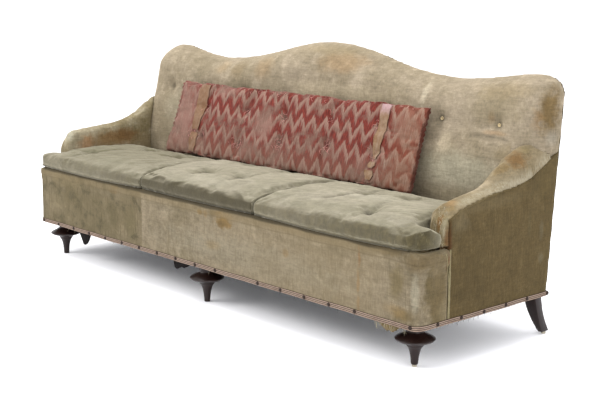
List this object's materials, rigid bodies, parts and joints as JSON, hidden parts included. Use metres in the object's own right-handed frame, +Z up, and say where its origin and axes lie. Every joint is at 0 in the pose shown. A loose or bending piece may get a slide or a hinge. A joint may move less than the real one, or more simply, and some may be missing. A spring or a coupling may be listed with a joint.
{
  "type": "camelback sofa",
  "caption": "Long camelback sofa with low swept arms, loose seat cushions, turned front feet and a loose zigzag lumbar cushion, its velvet worn and torn.",
  "frame": {"origin": "on the floor under the middle of the whole sofa", "axes": "+Z up, +X towards the right end seen from the front, -Y is the front of the seat"},
  "size_m": [2.2788, 0.7626, 0.98],
  "materials": {
    "frame_wood": "dry unfinished hardwood",
    "webbing": "coarse jute webbing",
    "spring_steel": "dull coil wire",
    "burlap": "open jute weave",
    "deck_cloth": "worn velvet over felt",
    "front_velvet": "worn flattened velvet, stained",
    "back_velvet": "worn flattened velvet, stained",
    "arm_velvet": "worn velvet, frayed to the ground cloth at the front",
    "outside_velvet": "olive brown velvet, mottled and marked",
    "cushion_velvet": "pale worn pile, olive on the front edges",
    "lumbar_velvet": "faded rose velvet with a worn brick red zigzag",
    "strap": "tan webbing with frayed ends",
    "gimp_braid": "narrow striped braid",
    "piping": "pale cord",
    "dust_cloth": "thin torn cambric",
    "turned_wood": "dark worn polish",
    "glide": "pale plain glide"
  },
  "bodies": {
    "root": {"front_rail": "frame_wood", "back_rail": "frame_wood", "left_side_rail": "frame_wood", "right_side_rail": "frame_wood", "centre_cross_rail": "frame_wood", "left_front_corner_block": "frame_wood", "right_front_corner_block": "frame_wood", "left_back_post": "frame_wood", "right_back_post": "frame_wood", "camel_top_rail": "frame_wood", "back_tacking_rail": "frame_wood", "left_back_upright": "frame_wood", "right_back_upright": "frame_wood", "left_arm_rail": "frame_wood", "right_arm_rail": "frame_wood", "left_arm_post": "frame_wood", "right_arm_post": "frame_wood", "seat_webbing": "webbing", "back_webbing": "webbing", "seat_spring_1_1": "spring_steel", "seat_spring_1_2": "spring_steel", "seat_spring_1_3": "spring_steel", "seat_spring_1_4": "spring_steel", "seat_spring_1_5": "spring_steel", "seat_spring_1_6": "spring_steel", "seat_spring_2_1": "spring_steel", "seat_spring_2_2": "spring_steel", "seat_spring_2_3": "spring_steel", "seat_spring_2_4": "spring_steel", "seat_spring_2_5": "spring_steel", "seat_spring_2_6": "spring_steel", "seat_burlap": "burlap", "seat_deck": "deck_cloth", "front_border": "front_velvet", "inside_back": "back_velvet", "outside_back": "outside_velvet", "left_arm_upholstery": "arm_velvet", "right_arm_upholstery": "arm_velvet", "left_outside_arm": "outside_velvet", "right_outside_arm": "outside_velvet", "left_seat_cushion": "cushion_velvet", "centre_seat_cushion": "cushion_velvet", "right_seat_cushion": "cushion_velvet", "lumbar_cushion": "lumbar_velvet", "left_strap": "strap", "right_strap": "strap", "gimp_front_and_sides": "gimp_braid", "gimp_back": "gimp_braid", "left_side_piping": "piping", "right_side_piping": "piping", "dust_cover": "dust_cloth", "front_left_foot": "turned_wood", "front_centre_foot": "turned_wood", "front_right_foot": "turned_wood", "left_rear_leg": "turned_wood", "right_rear_leg": "turned_wood", "centre_rear_leg": "turned_wood", "front_right_glide": "glide", "rear_right_glide": "glide"}
  },
  "joints": []
}
